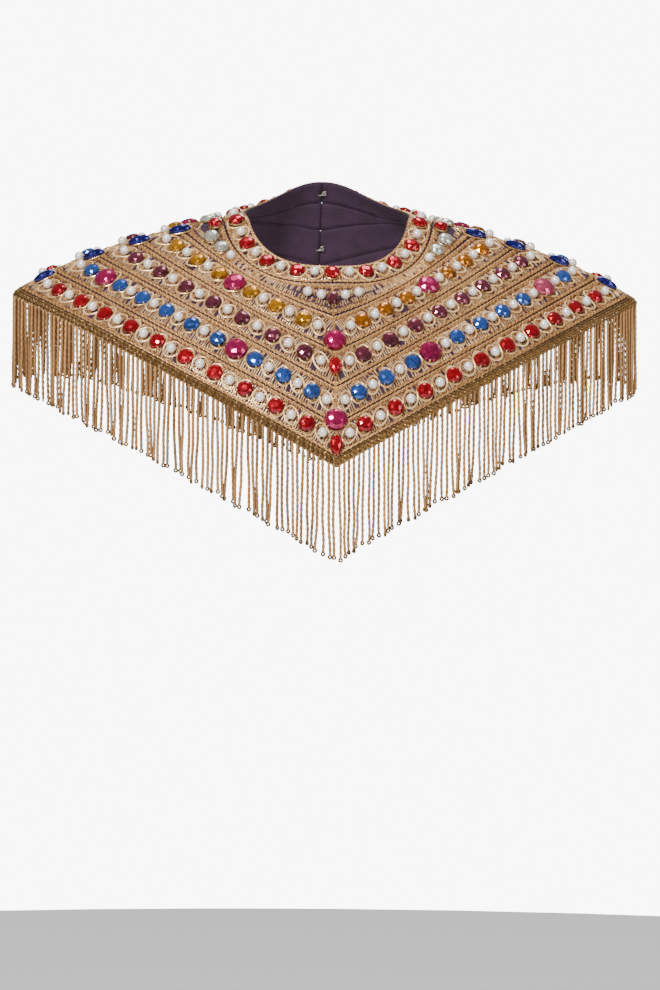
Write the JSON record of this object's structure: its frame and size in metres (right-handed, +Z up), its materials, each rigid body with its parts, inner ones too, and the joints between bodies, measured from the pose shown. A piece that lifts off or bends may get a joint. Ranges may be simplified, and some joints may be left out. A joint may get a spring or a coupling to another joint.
{
  "type": "fringed capelet",
  "caption": "Short shoulder cape of mitred jewelled braid bands round an open neck, with a bullion fringe along its pointed hem.",
  "frame": {"origin": "on the wearer, midway between the shoulder tips, at the height of the sides of the neck opening", "axes": "+Z up, +Y towards the wearer's back, +X from the wearer's right to left shoulder, which is the viewer's right"},
  "size_m": [0.511, 0.2687, 0.3177],
  "materials": {
    "braid": "old-gold metallic crochet braid over dark purple backing",
    "neck_braid": "the same braid, closer worked",
    "fringe": "twisted bronze-gold bullion",
    "gold_cord": "smooth pale-gold couched cord",
    "inner_face": "matt dark purple backing",
    "settings": "aged gilt claws",
    "red_glass": "foiled, polished",
    "amber_glass": "foiled, polished",
    "garnet_glass": "foiled, polished",
    "blue_glass": "foiled, polished",
    "magenta_glass": "foiled, polished",
    "navy_glass": "foiled, polished",
    "clear_glass": "foiled, polished",
    "pearl": "pearl lustre",
    "hooks": "dull"
  },
  "bodies": {
    "root": {"band_1_back_left": "braid", "band_1_back_right": "braid", "band_1_front_left": "braid", "band_1_front_right": "braid", "band_2_back_left": "braid", "band_2_back_right": "braid", "band_2_front_left": "braid", "band_2_front_right": "braid", "band_3_back_left": "braid", "band_3_back_right": "braid", "band_3_front_left": "braid", "band_3_front_right": "braid", "band_4_back_left": "braid", "band_4_back_right": "braid", "band_4_front_left": "braid", "band_4_front_right": "braid", "band_5_back_left": "braid", "band_5_back_right": "braid", "band_5_front_left": "braid", "band_5_front_right": "braid", "centre_drop_hem": "red_glass", "centre_drop_mid": "red_glass", "centre_drop_neck": "red_glass", "centre_large_high": "magenta_glass", "centre_large_low": "magenta_glass", "centre_round_neck": "red_glass", "corner_round_left": "red_glass", "corner_round_right": "red_glass", "fringe_back_left": "fringe", "fringe_back_right": "fringe", "fringe_front_left": "fringe", "fringe_front_right": "fringe", "hook_and_eye_1": "hooks", "hook_and_eye_2": "hooks", "hook_and_eye_3": "hooks", "hook_and_eye_4": "hooks", "hook_and_eye_5": "hooks", "navette_1_left": "navy_glass", "navette_1_right": "navy_glass", "navette_2_left": "navy_glass", "navette_2_right": "navy_glass", "navette_3_left": "navy_glass", "navette_3_right": "navy_glass", "navette_4_left": "navy_glass", "navette_4_right": "navy_glass", "neck_band_left": "neck_braid", "neck_band_right": "neck_braid"}
  },
  "joints": []
}
